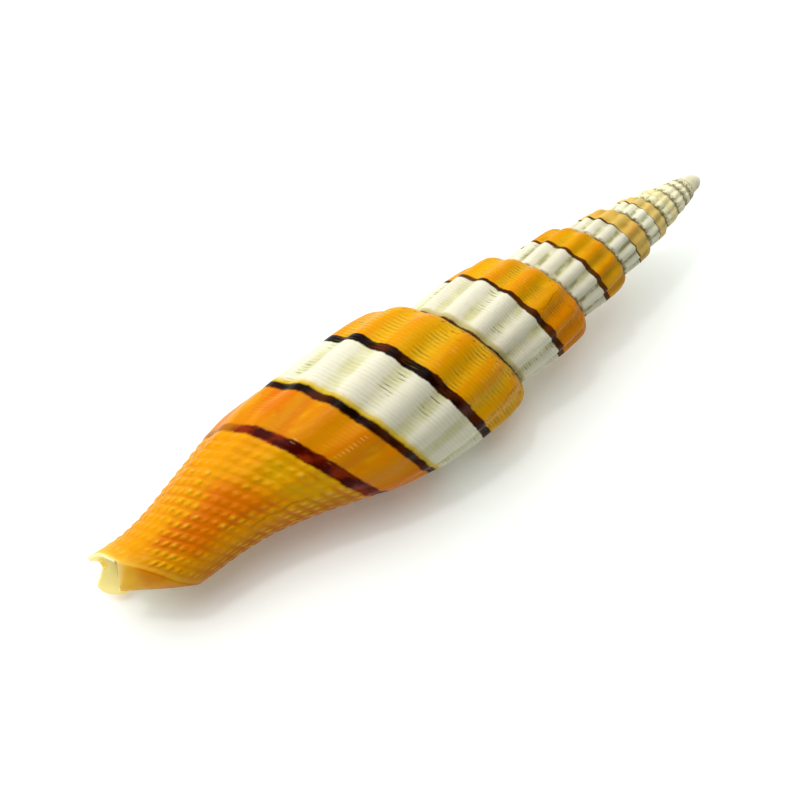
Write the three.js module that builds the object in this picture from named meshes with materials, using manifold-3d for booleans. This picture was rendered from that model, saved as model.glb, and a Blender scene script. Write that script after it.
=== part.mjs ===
// Mitre shell lying on its aperture side, built as one solid.
//
// The shell winds round a long axis.  Every point of its outside is given by
//   t  how many turns it lies behind the reference radius of the body whorl
//      (below zero towards the lip, growing towards the apex)
//   w  how far down the whorl it lies, counted from the suture in whorl sizes.
// All lengths are millimetres.
import * as THREE from 'three';
import Module from 'manifold-3d';

const wasm = await Module();
wasm.setup();
const { Manifold, Mesh } = wasm;

// Driving dimensions
const SUTURE_REACH = 33.418;      // distance from the apex to the suture at t = 0
const SUTURE_RATE = 0.401;        // how fast that distance shrinks per turn
const SUTURE_EASE = -0.0102;      // and how that rate eases towards the apex
const GROWTH_RATE = 0.3359;       // how fast the whorls shrink per turn
const GROWTH_EASE = -0.0254;
const START_AZIMUTH = 70.5;       // degrees from straight up, towards +Y, at t = 0
const LIP_RIB = -2.64;            // rib count at which the outer lip ends
const LIP_SWEEP = 0.06;           // turns by which the lip sweeps forward at the canal
const LAST_TURN = 7.0;            // above this turn the spire is worn smooth
const COARSE_TURN = 4.0;          // above this turn the ribs have fewer faces
const RIB_RATE = 12.9;            // ribs per turn on the body whorl
const RIB_GAIN = 0.45;            // and how that number grows up the spire
const RIB_EASE_TURN = 2.0;        // from here on the number per turn is steady
const RIB_START = 0.024;          // turn at which rib number zero stands
const RIB_LEAN = 0.0025;          // turns that a rib leans back per unit of w
const LEAN_CENTRE = 6.5;
const LEAN_LIMIT = 19.0;
const BASE_START = 19.2;          // w of the lowest colour line, where the base begins
const CANAL_W = 33.5;             // w of the end of the siphonal canal
const CORD_COUNT = 9;             // spiral cords on the base
const CORD_RELIEF = 0.13;
const BEND_AZIMUTH = 67.0;        // the way the canal bends, degrees from straight up
const WALL = 0.8;                 // shell wall of the living chamber
const CANAL_WALL = 0.7;           // thinner towards the end of the canal
const CHAMBER_DEPTH = 0.55;       // turn at which the open living chamber ends
const CANAL_DEPTH = 0.08;         // turn at which the canal bore starts to end
const CHAMBER_STEPS = 26;
const CHAMBER_PAST_LIP = 0.11;    // turns that the cut for the chamber runs past the lip
const CHAMBER_CLEARANCE = 0.12;   // the chamber stays this far off the whorl inside it
const FOLD_PLACES = [19.6, 22.2, 24.8, 27.4];   // w of the four columella folds
const FOLD_HEIGHT = 0.55;
const FOLD_WIDTH = 0.75;
const CANAL_HEART = 65.2;         // point of the axis where the base closes
const REST_ROLL = 1.9;            // degrees, turns the shell about its axis to rest
const REST_TILT = 4.2;            // degrees, lifts the apex
const SHELL_COLOUR = 0xe7a544;

const rad = THREE.MathUtils.degToRad;

// A smooth curve through a few points that never overshoots them.
function curve(points) {
  const xs = points.map((p) => p[0]);
  const ys = points.map((p) => p[1]);
  const last = xs.length - 1;
  const slopes = [];
  for (let i = 0; i < last; i += 1) {
    slopes.push((ys[i + 1] - ys[i]) / (xs[i + 1] - xs[i]));
  }
  const tangents = xs.map((_, i) => {
    if (i === 0) return slopes[0];
    if (i === last) return slopes[last - 1];
    const before = slopes[i - 1];
    const after = slopes[i];
    if (before * after <= 0) return 0;
    return (2 * before * after) / (before + after);
  });
  return (x) => {
    if (x <= xs[0]) return ys[0];
    if (x >= xs[last]) return ys[last];
    let i = 0;
    while (x > xs[i + 1]) i += 1;
    const span = xs[i + 1] - xs[i];
    const s = (x - xs[i]) / span;
    const h00 = (1 + 2 * s) * (1 - s) * (1 - s);
    const h10 = s * (1 - s) * (1 - s);
    const h01 = s * s * (3 - 2 * s);
    const h11 = s * s * (s - 1);
    return h00 * ys[i] + h10 * span * tangents[i] + h01 * ys[i + 1] + h11 * span * tangents[i + 1];
  };
}

function fade(from, to, x) {
  return THREE.MathUtils.smoothstep(x, from, to);
}

// Outline of the body whorl, as radius over w, and of the fuller whorls of the spire
const bodyOutline = curve([[0, 6.5], [0.4, 7.25], [0.9, 7.7], [2, 8.15], [4, 8.4], [7, 8.45],
  [10, 8.35], [12, 8.2], [14, 7.85], [17, 7.25], [19.6, 6.5], [22, 5.8], [25, 5.1], [27, 4.65],
  [30, 4.2], [33.5, 3.85]]);
const spireOutline = curve([[0, 6.55], [0.4, 7.3], [0.9, 7.9], [2, 8.5], [4, 8.75], [7, 8.9],
  [10, 8.85], [13, 8.65], [16, 8.2], [19.6, 7.0], [25, 5.2], [33.5, 3.85]]);
// Distance of the canal end from the apex round the last turn, with the notch at its end
const canalEnd = curve([[-0.25, 67.9], [-0.1, 67.5], [0, 66.8], [0.05, 66.0], [0.12, 65.5],
  [0.2, 65.2], [0.27, 64.4], [0.35, 63.3], [0.42, 62.1], [0.5, 60.9], [0.6, 59.0], [0.8, 55.4],
  [1.0, 50.7], [1.3, 45.2], [1.7, 38.5]]);
// How far the middle line leaves the straight axis, over the distance from the apex
const bend = curve([[43, 0], [46, 0.3], [49, 0.75], [52, 1.1], [55, 1.25], [58, 1.15], [61, 1.0],
  [63, 0.95], [65, 1.1], [67, 1.4], [70, 2.0]]);
// Height of the ribs over w
const ribRelief = curve([[0, 0.15], [1.2, 0.42], [6, 0.5], [12, 0.42], [17, 0.26], [22, 0.14],
  [28, 0.06], [33.5, 0]]);
// Radius of the columella over the distance from the apex
const columella = curve([[30, 1.6], [45, 2.1], [50, 2.0], [55, 1.75], [60, 1.35], [64, 1.0],
  [65.6, 0.72], [66.3, 0.4]]);
// Rings of the worn tip: distance from the apex, and radius
const TIP_RINGS = [[1.25, 1.12], [0.4, 0.78]];
// Rows down every whorl, as parts of the height that the next suture leaves bare
const WHORL_ROWS = [0, 0.035, 0.11, 0.28, 0.52, 0.76, 0.96];
// Rows between those of the whorl and the base, and rows of the chamber
const BELT_ROWS = [17.8];
const CHAMBER_ROWS = [1.1, 2, 4, 8, 12, 15, 18, 21, 24, 27, 30, 33.5, 36.5];

const suture = (t) => SUTURE_REACH * Math.exp(-(SUTURE_RATE * t + 0.5 * SUTURE_EASE * t * t));
const growth = (t) => Math.exp(-(GROWTH_RATE * t + 0.5 * GROWTH_EASE * t * t));
const azimuth = (t) => rad(START_AZIMUTH - 360 * t);
const lean = (w) => RIB_LEAN * (Math.min(w, LEAN_LIMIT) - LEAN_CENTRE);

function ribCount(t) {
  const e = Math.min(t, RIB_EASE_TURN);
  const steady = (RIB_RATE + 2 * RIB_GAIN * RIB_EASE_TURN) * (t - e);
  return RIB_RATE * (e - RIB_START) + RIB_GAIN * e * e + steady;
}

function turnOfRib(count) {
  let t = count / RIB_RATE;
  for (let i = 0; i < 12; i += 1) {
    const rate = RIB_RATE + 2 * RIB_GAIN * Math.min(t, RIB_EASE_TURN);
    t -= (ribCount(t) - count) / rate;
  }
  return t;
}

// Height of a whorl down to the next suture, in whorl sizes
function bareHeight(t) {
  return (suture(t - 1) - suture(t)) / growth(t);
}

// Distance from the apex of the place w at turn t
function reach(t, w) {
  const top = suture(t) + growth(t) * Math.min(w, BASE_START);
  if (w <= BASE_START) return top;
  const base = canalEnd(t) - top;
  return top + (base * (w - BASE_START)) / (CANAL_W - BASE_START);
}

// The place w that lies at distance a from the apex
function placeAt(t, a) {
  const top = suture(t) + growth(t) * BASE_START;
  if (a <= top) return (a - suture(t)) / growth(t);
  return BASE_START + ((a - top) * (CANAL_W - BASE_START)) / (canalEnd(t) - top);
}

function smoothRadius(t, w) {
  const spire = fade(0.5, 1.2, t);
  return growth(t) * THREE.MathUtils.lerp(bodyOutline(w), spireOutline(w), spire);
}

function foldHeight(t, w) {
  const shape = (place) => Math.max(0, 1 - Math.abs(w - place) / FOLD_WIDTH);
  const folds = FOLD_PLACES.reduce((sum, place) => sum + shape(place), 0);
  return folds * FOLD_HEIGHT * growth(t) * fade(0.6, 0.7, t);
}

// A point at distance a from the apex and r from the bent middle line
function point(a, r, angle) {
  const off = bend(a);
  const y = r * Math.sin(angle) + off * Math.sin(rad(BEND_AZIMUTH));
  const z = r * Math.cos(angle) + off * Math.cos(rad(BEND_AZIMUTH));
  return new THREE.Vector3(-a, y, z);
}

// Turn of the place w in a column: it leans with the ribs and sweeps forward near the lip
function turnAt(t, w) {
  const nearLip = 1 - fade(-0.18, -0.08, t);
  return t + lean(w) - LIP_SWEEP * nearLip * fade(12, 30, w);
}

// Outer surface with ribs, base cords and columella folds
function outerPoint(column, w, cord) {
  const t = turnAt(column.t, w);
  const inside = fade(0.6, 0.7, t) * fade(15, 20, w);
  const rib = ribRelief(w) * growth(t) * (1 + 0.25 * fade(0.6, 1.2, t)) * (1 - column.crest);
  const ridge = cord * CORD_RELIEF * growth(t);
  const r = smoothRadius(t, w) + (ridge - rib) * (1 - inside) + foldHeight(t, w);
  return point(reach(t, w), r, azimuth(t));
}

// Four columns stand on every rib, two on its back and two in the gap, and three higher up.
function ribColumns() {
  const list = [];
  const lastRib = Math.floor(ribCount(LAST_TURN)) + 0.2;
  for (let n = Math.floor(LIP_RIB); n <= lastRib; n += 1) {
    const fine = [[-0.14, 1], [0.14, 1], [0.36, 0], [0.64, 0]];
    const coarse = [[-0.17, 1], [0.17, 1], [0.5, 0]];
    const shifts = turnOfRib(n) < COARSE_TURN ? fine : coarse;
    shifts.forEach(([shift, crest]) => {
      const count = n + shift;
      if (count > LIP_RIB - 1e-6 && count < lastRib) list.push({ t: turnOfRib(count), crest });
    });
  }
  return list;
}

// Rows below the whorl rows: one on the lower belt, then two for every base cord
function baseRows() {
  const rows = BELT_ROWS.map((w) => ({ w, cord: 0 }));
  const step = (CANAL_W - BASE_START - 0.6) / CORD_COUNT;
  for (let i = 0; i < CORD_COUNT; i += 1) {
    rows.push({ w: BASE_START + step * i, cord: -1 });
    rows.push({ w: BASE_START + step * (i + 0.5), cord: 1 });
  }
  rows.push({ w: CANAL_W - 0.6, cord: 0 });
  rows.push({ w: CANAL_W, cord: 0 });
  return rows;
}

function makeSolid(points, faces) {
  const vertProperties = new Float32Array(points.flatMap((p) => [p.x, p.y, p.z]));
  const wind = (list) => new Manifold(new Mesh({
    numProp: 3,
    vertProperties,
    triVerts: new Uint32Array(list.flat()),
  }));
  const made = wind(faces);
  return made.volume() > 0 ? made : wind(faces.map(([a, b, c]) => [a, c, b]));
}

// Fills the strip between two rows of numbered points that run the same way round.
function stitch(upper, lower, faces) {
  let i = 0;
  let j = 0;
  while (i + 1 < upper.length || j + 1 < lower.length) {
    const nextUpper = i + 1 < upper.length ? upper[i + 1].turn : Infinity;
    const nextLower = j + 1 < lower.length ? lower[j + 1].turn : Infinity;
    if (nextUpper <= nextLower) {
      faces.push([upper[i].id, lower[j].id, upper[i + 1].id]);
      i += 1;
    } else {
      faces.push([upper[i].id, lower[j].id, lower[j + 1].id]);
      j += 1;
    }
  }
}

// Fills a ring of numbered points whose flat places are given, and turns it as asked.
function fillRing(ids, flat, faces, flip) {
  const turned = THREE.ShapeUtils.isClockWise(flat) !== flip;
  THREE.ShapeUtils.triangulateShape(flat, []).forEach(([a, b, c]) => {
    faces.push(turned ? [ids[a], ids[c], ids[b]] : [ids[a], ids[b], ids[c]]);
  });
}

// The whole outside in one skin, closed over the aperture
function skinPart() {
  const columns = ribColumns();
  const extra = baseRows();
  const points = [];
  const faces = [];
  const add = (p) => points.push(p) - 1;
  const last = WHORL_ROWS.length - 1;
  const closing = columns.findIndex((column) => column.t > columns[0].t + 1);
  const grid = columns.map((column, j) => {
    const bare = bareHeight(column.t);
    const rows = WHORL_ROWS.map((share) => add(outerPoint(column, share * bare, 0)));
    if (j <= closing) extra.forEach((row) => rows.push(add(outerPoint(column, row.w, row.cord))));
    return rows;
  });
  for (let j = 0; j + 1 < columns.length; j += 1) {
    const shared = Math.min(grid[j].length, grid[j + 1].length);
    for (let i = 0; i + 1 < shared; i += 1) {
      faces.push([grid[j][i], grid[j][i + 1], grid[j + 1][i + 1]]);
      faces.push([grid[j][i], grid[j + 1][i + 1], grid[j + 1][i]]);
    }
  }
  const sutureRow = columns.map((c, j) => ({ id: grid[j][0], turn: c.t + lean(0) + 1 }));
  const lowRow = columns.map((c, j) => ({ id: grid[j][last], turn: c.t + lean(last * 2) }));
  const end = sutureRow.findIndex((p) => p.turn > lowRow[columns.length - 1].turn);
  stitch(lowRow.slice(closing), sutureRow.slice(0, end), faces);
  closeBase(grid, closing, last, points, faces);
  closeTip(grid, end - 1, points, faces);
  return makeSolid(points, faces);
}

// Closes the canal end to one point of the axis, and the aperture with a flat skin
function closeBase(grid, closing, last, points, faces) {
  const heart = points.push(point(CANAL_HEART, 0, 0)) - 1;
  const bottom = grid[0].length - 1;
  for (let j = 0; j < closing; j += 1) {
    faces.push([grid[j][bottom], heart, grid[j + 1][bottom]]);
  }
  const ring = [...grid[0], heart, ...grid[closing].slice(last).reverse()];
  const flat = ring.map((id) => {
    const p = points[id];
    const off = bend(-p.x);
    const side = Math.hypot(p.y - off * Math.sin(rad(BEND_AZIMUTH)), p.z - off * Math.cos(rad(BEND_AZIMUTH)));
    return new THREE.Vector2(-p.x, side);
  });
  fillRing(ring, flat, faces, true);
}

// Closes the spire with the rings of its worn tip
function closeTip(grid, from, points, faces) {
  const rim = [];
  for (let j = from; j < grid.length; j += 1) rim.push(grid[j][0]);
  const lastColumn = grid[grid.length - 1].slice(1);
  const loop = [...rim, ...lastColumn];
  const angles = loop.map((id) => Math.atan2(points[id].y, points[id].z));
  let above = loop;
  TIP_RINGS.forEach(([a, r]) => {
    const ring = angles.map((angle) => points.push(point(a, r, angle)) - 1);
    ring.forEach((id, i) => {
      const next = (i + 1) % ring.length;
      faces.push([above[i], above[next], ring[next]]);
      faces.push([above[i], ring[next], id]);
    });
    above = ring;
  });
  const top = points.push(point(0.05, 0, 0)) - 1;
  above.forEach((id, i) => faces.push([id, above[(i + 1) % above.length], top]));
}

// Radius of what stands inside the chamber: the whorl one turn older, then the columella
function innerRadius(t, a) {
  const w = placeAt(t + 1, a);
  const whorl = smoothRadius(t + 1, Math.min(w, CANAL_W)) + foldHeight(t + 1, w);
  const bare = THREE.MathUtils.lerp(whorl, columella(a), fade(30, 37, w));
  return Math.max(bare, columella(a)) + CHAMBER_CLEARANCE;
}

// The living chamber with its canal, open past the lip and past the canal end
function chamberPart() {
  const from = turnOfRib(LIP_RIB) - CHAMBER_PAST_LIP;
  const points = [];
  const faces = [];
  const rings = [];
  for (let k = 0; k <= CHAMBER_STEPS; k += 1) {
    const t = THREE.MathUtils.lerp(from, CHAMBER_DEPTH, k / CHAMBER_STEPS);
    const shorten = 1 - 0.32 * fade(CANAL_DEPTH, 0.2, t) - 0.16 * fade(0.2, CHAMBER_DEPTH, t);
    const outer = CHAMBER_ROWS.map((row) => {
      const w = row * shorten;
      const tt = t + lean(w);
      const a = reach(tt, w);
      const wall = THREE.MathUtils.lerp(WALL, CANAL_WALL, fade(14, 28, w)) + ribRelief(w);
      const low = innerRadius(tt, a);
      const high = Math.max(smoothRadius(tt, Math.min(w, CANAL_W)) - wall, low + 0.25);
      return [point(a, high, azimuth(tt)), point(a, low, azimuth(tt))];
    });
    const ring = [...outer.map((pair) => pair[0]), ...outer.map((pair) => pair[1]).reverse()];
    rings.push(ring.map((p) => points.push(p) - 1));
  }
  const size = rings[0].length;
  for (let k = 0; k < CHAMBER_STEPS; k += 1) {
    for (let i = 0; i < size; i += 1) {
      const next = (i + 1) % size;
      faces.push([rings[k][i], rings[k][next], rings[k + 1][next]]);
      faces.push([rings[k][i], rings[k + 1][next], rings[k + 1][i]]);
    }
  }
  const half = size / 2;
  [rings[0], rings[CHAMBER_STEPS]].forEach((ring, side) => {
    for (let i = 0; i + 1 < half; i += 1) {
      const [a, b, c, d] = [ring[i], ring[i + 1], ring[size - 2 - i], ring[size - 1 - i]];
      faces.push(side ? [a, b, c] : [a, c, b]);
      faces.push(side ? [a, c, d] : [a, d, c]);
    }
  });
  return makeSolid(points, faces);
}

// The free end of the columella, which stands in the canal
function columellaPart() {
  const reaches = [52, 56, 60, 63, 65.4, 66.2];
  const sides = 12;
  const points = [];
  const faces = [];
  const rings = reaches.map((a, k) => Array.from({ length: sides }, (_, i) => {
    const r = columella(a) + (k === 0 ? -0.4 : CHAMBER_CLEARANCE);
    return points.push(point(a, r, (2 * Math.PI * i) / sides)) - 1;
  }));
  for (let k = 0; k + 1 < rings.length; k += 1) {
    for (let i = 0; i < sides; i += 1) {
      const next = (i + 1) % sides;
      faces.push([rings[k][i], rings[k][next], rings[k + 1][next]]);
      faces.push([rings[k][i], rings[k + 1][next], rings[k + 1][i]]);
    }
  }
  for (let i = 1; i + 1 < sides; i += 1) {
    faces.push([rings[0][0], rings[0][i + 1], rings[0][i]]);
    faces.push([rings[rings.length - 1][0], rings[rings.length - 1][i], rings[rings.length - 1][i + 1]]);
  }
  return makeSolid(points, faces);
}

function toGeometry(made) {
  const mesh = made.getMesh();
  const geometry = new THREE.BufferGeometry();
  geometry.setAttribute('position', new THREE.BufferAttribute(new Float32Array(mesh.vertProperties), 3));
  geometry.setIndex(new THREE.BufferAttribute(new Uint32Array(mesh.triVerts), 1));
  return geometry;
}

const geometry = toGeometry(skinPart().subtract(chamberPart()).add(columellaPart()));
geometry.rotateX(rad(REST_ROLL));
geometry.rotateY(rad(-REST_TILT));
geometry.computeBoundingBox();
const box = geometry.boundingBox;
geometry.translate(-(box.min.x + box.max.x) / 2, -(box.min.y + box.max.y) / 2, -box.min.z);
geometry.computeVertexNormals();

const shell = new THREE.Mesh(geometry, new THREE.MeshStandardMaterial({
  color: SHELL_COLOUR,
  roughness: 0.35,
  metalness: 0,
}));
shell.name = 'shell';

const part = new THREE.Group();
part.name = 'queen_mitre_shell';
part.add(shell);

export default part;
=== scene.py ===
# %% [markdown]
# A long mitre shell lies on a white table, aperture down. One animal built it
# by adding lime at the edge of its mouth while the mouth turned round a long
# axis and grew. The whole scene follows that idea: flat grids are rolled up by
# a growth law, and the colours are painted by the place on the growing edge.

# %% Load the frame
import bpy
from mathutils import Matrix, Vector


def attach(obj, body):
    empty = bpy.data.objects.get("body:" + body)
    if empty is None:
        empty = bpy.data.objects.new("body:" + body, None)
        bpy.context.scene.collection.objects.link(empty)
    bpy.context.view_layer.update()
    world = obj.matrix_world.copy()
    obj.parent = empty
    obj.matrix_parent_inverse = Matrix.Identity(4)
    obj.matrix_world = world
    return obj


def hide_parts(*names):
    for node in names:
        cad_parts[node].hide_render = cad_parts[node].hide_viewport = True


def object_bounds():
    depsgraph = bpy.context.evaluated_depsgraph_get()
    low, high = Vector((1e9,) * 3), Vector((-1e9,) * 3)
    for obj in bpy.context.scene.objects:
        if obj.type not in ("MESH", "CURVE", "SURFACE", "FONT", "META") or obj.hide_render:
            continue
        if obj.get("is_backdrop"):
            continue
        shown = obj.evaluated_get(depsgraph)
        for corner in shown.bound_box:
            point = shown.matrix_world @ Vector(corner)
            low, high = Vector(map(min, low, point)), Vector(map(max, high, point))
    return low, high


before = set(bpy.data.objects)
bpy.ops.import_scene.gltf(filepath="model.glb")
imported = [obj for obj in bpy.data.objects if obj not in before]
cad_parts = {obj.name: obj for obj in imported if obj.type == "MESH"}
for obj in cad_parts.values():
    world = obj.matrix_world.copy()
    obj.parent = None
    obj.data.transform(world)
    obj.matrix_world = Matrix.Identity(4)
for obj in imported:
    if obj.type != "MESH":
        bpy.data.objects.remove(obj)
bpy.context.view_layer.update()
cad_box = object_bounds()

import math
import bmesh
import numpy as np
from mathutils import Matrix, Vector

print("CAD box", [[round(c, 4) for c in corner] for corner in cad_box])

# %% [markdown]
# The camera comes first, so that every later piece can be judged in its view.
# It looks down on the shell from the canal side. Its place was found by
# fitting a growing spiral to the outline, the sutures and the colour lines.

# %% Camera
bpy.ops.object.camera_add(location=(-0.039337, -0.044846, 0.100291))
camera = bpy.context.object
camera.name = "camera"
camera.rotation_euler = [math.radians(a) for a in (31.3753, 0.2681, -39.1447)]
camera.data.lens = 55.918
camera.data.sensor_width = 36
camera.data.clip_start = 0.005
bpy.context.scene.camera = camera
print("camera at", [round(c, 4) for c in camera.location])

# %% [markdown]
# The growth law. Going back one turn from the lip, the suture comes closer to
# the tip by a steady share, and the whorl gets smaller by another. Here t
# counts the turns back, and w goes down a whorl from its suture, measured in
# that whorl's own size. Lengths are millimetres. The numbers are those of the
# solid model, so both have the same shape.

# %% Growth law
SUTURE_REACH, SUTURE_RATE, SUTURE_EASE = 33.418, 0.401, -0.0102
GROWTH_RATE, GROWTH_EASE = 0.3359, -0.0254
START_AZIMUTH = 70.5
BASE_START, CANAL_W = 19.2, 33.5


def suture(t):
    return SUTURE_REACH * np.exp(-(SUTURE_RATE * t + 0.5 * SUTURE_EASE * t * t))


def growth(t):
    return np.exp(-(GROWTH_RATE * t + 0.5 * GROWTH_EASE * t * t))


def bare_height(t):
    return (suture(t - 1) - suture(t)) / growth(t)


def fade(low, high, x):
    s = np.clip((x - low) / (high - low), 0, 1)
    return s * s * (3 - 2 * s)


print("a whorl shrinks to", round(float(growth(1)), 3), "of its size in one turn")

# %% [markdown]
# The lip stopped between two ribs, so its place is given by counting ribs from
# a rib that is easy to see in the photo. A young shell makes more ribs a turn.

# %% Count the ribs
RIB_RATE, RIB_GAIN, RIB_EASE_TURN, RIB_START = 12.9, 0.45, 2.0, 0.024
LIP_RIB, LAST_TURN = -2.64, 9.2


def rib_count(t):
    e = np.minimum(t, RIB_EASE_TURN)
    steady = (RIB_RATE + 2 * RIB_GAIN * RIB_EASE_TURN) * (t - e)
    return RIB_RATE * (e - RIB_START) + RIB_GAIN * e * e + steady


def turn_of_rib(count):
    turns = np.linspace(-0.6, 9.0, 20000)
    return float(np.interp(count, rib_count(turns), turns))


LIP = turn_of_rib(LIP_RIB)
print("lip at turn", round(LIP, 4), "suture there", round(float(suture(LIP)), 2), "mm from the tip")

# %% [markdown]
# Every outline is given by a few points. Between them a smooth curve is used
# that never overshoots, as a boat builder's batten would bend.

# %% A batten curve
def batten(points):
    xs, ys = np.array(points, float).T
    slopes = np.diff(ys) / np.diff(xs)
    tangents = np.zeros(len(xs))
    tangents[0], tangents[-1] = slopes[0], slopes[-1]
    for i in range(1, len(xs) - 1):
        before, after = slopes[i - 1], slopes[i]
        if before * after > 0:
            tangents[i] = 2 * before * after / (before + after)

    def value(x):
        x = np.clip(x, xs[0], xs[-1])
        i = np.clip(np.searchsorted(xs, x, side="right") - 1, 0, len(xs) - 2)
        span = xs[i + 1] - xs[i]
        s = (x - xs[i]) / span
        rise = s * s * (3 - 2 * s)
        lift = s * (1 - s) * span * ((1 - s) * tangents[i] - s * tangents[i + 1])
        return ys[i] + (ys[i + 1] - ys[i]) * rise + lift

    return value


print("halfway between two points", round(float(batten([(0, 0), (1, 1), (2, 4)])(1.5)), 2))

# %% [markdown]
# The outline of a whorl is its radius down its side. The spire whorls are a
# little fuller than the last one. Other curves give where the canal ends round
# the last turn, how far its middle bends aside, and how high the ribs stand.

# %% Outline curves
body_outline = batten([(0, 6.5), (0.4, 7.25), (0.9, 7.7), (2, 8.15), (4, 8.4), (7, 8.45),
                       (10, 8.35), (12, 8.2), (14, 7.85), (17, 7.25), (19.6, 6.5), (22, 5.8),
                       (25, 5.1), (27, 4.65), (30, 4.2), (33.5, 3.85)])
spire_outline = batten([(0, 6.55), (0.4, 7.3), (0.9, 7.9), (2, 8.5), (4, 8.75), (7, 8.9),
                        (10, 8.85), (13, 8.65), (16, 8.2), (19.6, 7.0), (25, 5.2), (33.5, 3.85)])
canal_end = batten([(-0.32, 65.6), (-0.26, 66.3), (-0.22, 67.56), (-0.19, 67.76), (-0.15, 66.9),
                    (-0.115, 66.4), (-0.08, 66.4), (-0.045, 66.7), (-0.02, 67.0), (0.05, 66.0),
                    (0.12, 65.5), (0.18, 65.0), (0.23, 64.1), (0.28, 63.3), (0.35, 62.4),
                    (0.42, 61.5), (0.5, 60.7), (0.6, 59.0), (0.8, 55.4), (1.0, 50.7),
                    (1.3, 45.2), (1.7, 38.5)])
bend = batten([(43, 0), (46, 0.3), (49, 0.75), (52, 1.1), (55, 1.25), (58, 1.15), (61, 1.0),
               (63, 0.95), (65, 1.1), (67, 1.4), (70, 2.0)])
rib_relief = batten([(0, 0.15), (1.2, 0.42), (6, 0.5), (12, 0.42), (17, 0.26), (22, 0.14),
                     (28, 0.06), (33.5, 0)])
columella = batten([(30, 1.6), (45, 2.1), (50, 2.0), (55, 1.75), (60, 1.35), (63, 0.95),
                    (65, 0.45), (66.4, 0.05)])
tip_outline = batten([(0, 0.15), (0.1, 0.36), (0.28, 0.58), (0.6, 0.78), (1.0, 0.95), (1.45, 1.12),
                      (1.9, 1.34), (2.4, 1.65), (4.0, 3.2)])
WORN_FROM = 6.0
print("widest radius before ribs", max(float(body_outline(w)) for w in range(33)), "mm")

# %% [markdown]
# Two functions read these curves. One gives the distance of a place from the
# tip, the other its radius before ribs are added. The tip of a real shell is
# rubbed down, so there the radius can't pass the outline of the worn tip.

# %% Reach and radius
def reach(t, w):
    top = suture(t) + growth(t) * np.minimum(w, BASE_START)
    share = np.maximum(w - BASE_START, 0) / (CANAL_W - BASE_START)
    return top + (canal_end(t) - suture(t) - growth(t) * BASE_START) * share


def smooth_radius(t, w):
    spire = fade(0.5, 1.2, t)
    radius = growth(t) * ((1 - spire) * body_outline(w) + spire * spire_outline(w))
    worn = np.minimum(radius, tip_outline(suture(t) + growth(t) * w))
    return np.where(t > WORN_FROM, worn, radius)


print("radius at the shoulder", round(float(smooth_radius(0.0, 4.0)), 2), "mm")

# %% [markdown]
# The shell rests on its lip and its belly, so the model is turned a little about its axis, its tip
# is lifted, and it is set down on the table. SNUG makes it a hair thinner than the solid model, so
# that it stays inside the solid's box. The last step also goes from millimetres to metres.

# %% Resting place
REST_ROLL, REST_TILT = 1.9, 4.2
REST_SHIFT = np.array([33.73663, -0.66844, 9.09008])
BEND_AZIMUTH = math.radians(67)
SNUG = 0.997
rest_turn = (Matrix.Rotation(math.radians(-REST_TILT), 3, "Y")
             @ Matrix.Rotation(math.radians(REST_ROLL), 3, "X"))
rest_turn = np.array(rest_turn)


def place(a, r, angle):
    """Metres in the CAD frame for a distance from the tip, a radius and an angle."""
    off = bend(a)
    y = SNUG * r * np.sin(angle) + off * math.sin(BEND_AZIMUTH)
    z = SNUG * r * np.cos(angle) + off * math.cos(BEND_AZIMUTH)
    own = np.stack(np.broadcast_arrays(-a, y, z), -1)
    return (own @ rest_turn.T + REST_SHIFT) / 1000


def azimuth(t):
    return np.radians(START_AZIMUTH - 360 * t)


print("the tip's place", [round(float(c), 4) for c in place(np.array(0.0), np.array(0.0), 0.0)])

# %% [markdown]
# Ribs, cords and folds. Ribs run along the shell, about thirteen to a turn,
# with rounded backs and narrow gaps. They lean a little, and near the lip the
# sheet sweeps forward. Inside the mouth the columella carries four slanting
# folds.

# %% Ribs and folds
RIB_LEAN, LEAN_CENTRE, LEAN_LIMIT = 0.0025, 6.5, 19.0
LIP_SWEEP, CANAL_WRAP, RIB_BACK = 0.06, 0.045, 1.15
FOLD_PLACES, FOLD_HEIGHT, FOLD_WIDTH = (19.6, 22.2, 24.8, 27.4), 0.55, 0.95


def lean(w):
    return RIB_LEAN * (np.minimum(w, LEAN_LIMIT) - LEAN_CENTRE)


def turn_at(t, w):
    near_lip = 1 - fade(-0.18, -0.08, t)
    return t + lean(w) - near_lip * (LIP_SWEEP * fade(12, 30, w) + CANAL_WRAP * fade(28, 33, w))


def crest(t):
    wave = 0.5 + 0.5 * np.cos(2 * np.pi * rib_count(t))
    return 1 - (1 - wave) ** RIB_BACK


def fold_height(t, w):
    folds = sum(np.clip(1 - np.abs(w - f) / FOLD_WIDTH, 0, 1) ** 1.5 for f in FOLD_PLACES)
    return folds * FOLD_HEIGHT * growth(t) * fade(0.6, 0.7, t)


print("ribs on the last whorl", round(float(rib_count(LIP + 1) - rib_count(LIP)), 1))

# %% [markdown]
# Below the lowest colour line the ribs fade into rows of beads on spiral cords.
# A sum of three waves makes the skin a little uneven, so that it doesn't look
# turned on a lathe. All of it is cut into the smooth outline.

# %% Relief
CORD_COUNT, CORD_RELIEF, BEADS_PER_RIB, BEAD_RELIEF = 15, 0.06, 3, 0.05
SPIRE_RIB_GAIN, TIP_RIB_LOSS, UNEVEN = 0.42, 0.5, 0.02
UNEVEN_WAVES = ((0.5, 45.844, 0.7), (0.3, 107.388, -1.9), (0.2, 199.076, 3.1))


def unevenness(t, w):
    return sum(size * np.sin(along_t * t + along_w * w) for size, along_t, along_w in UNEVEN_WAVES)


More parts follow.
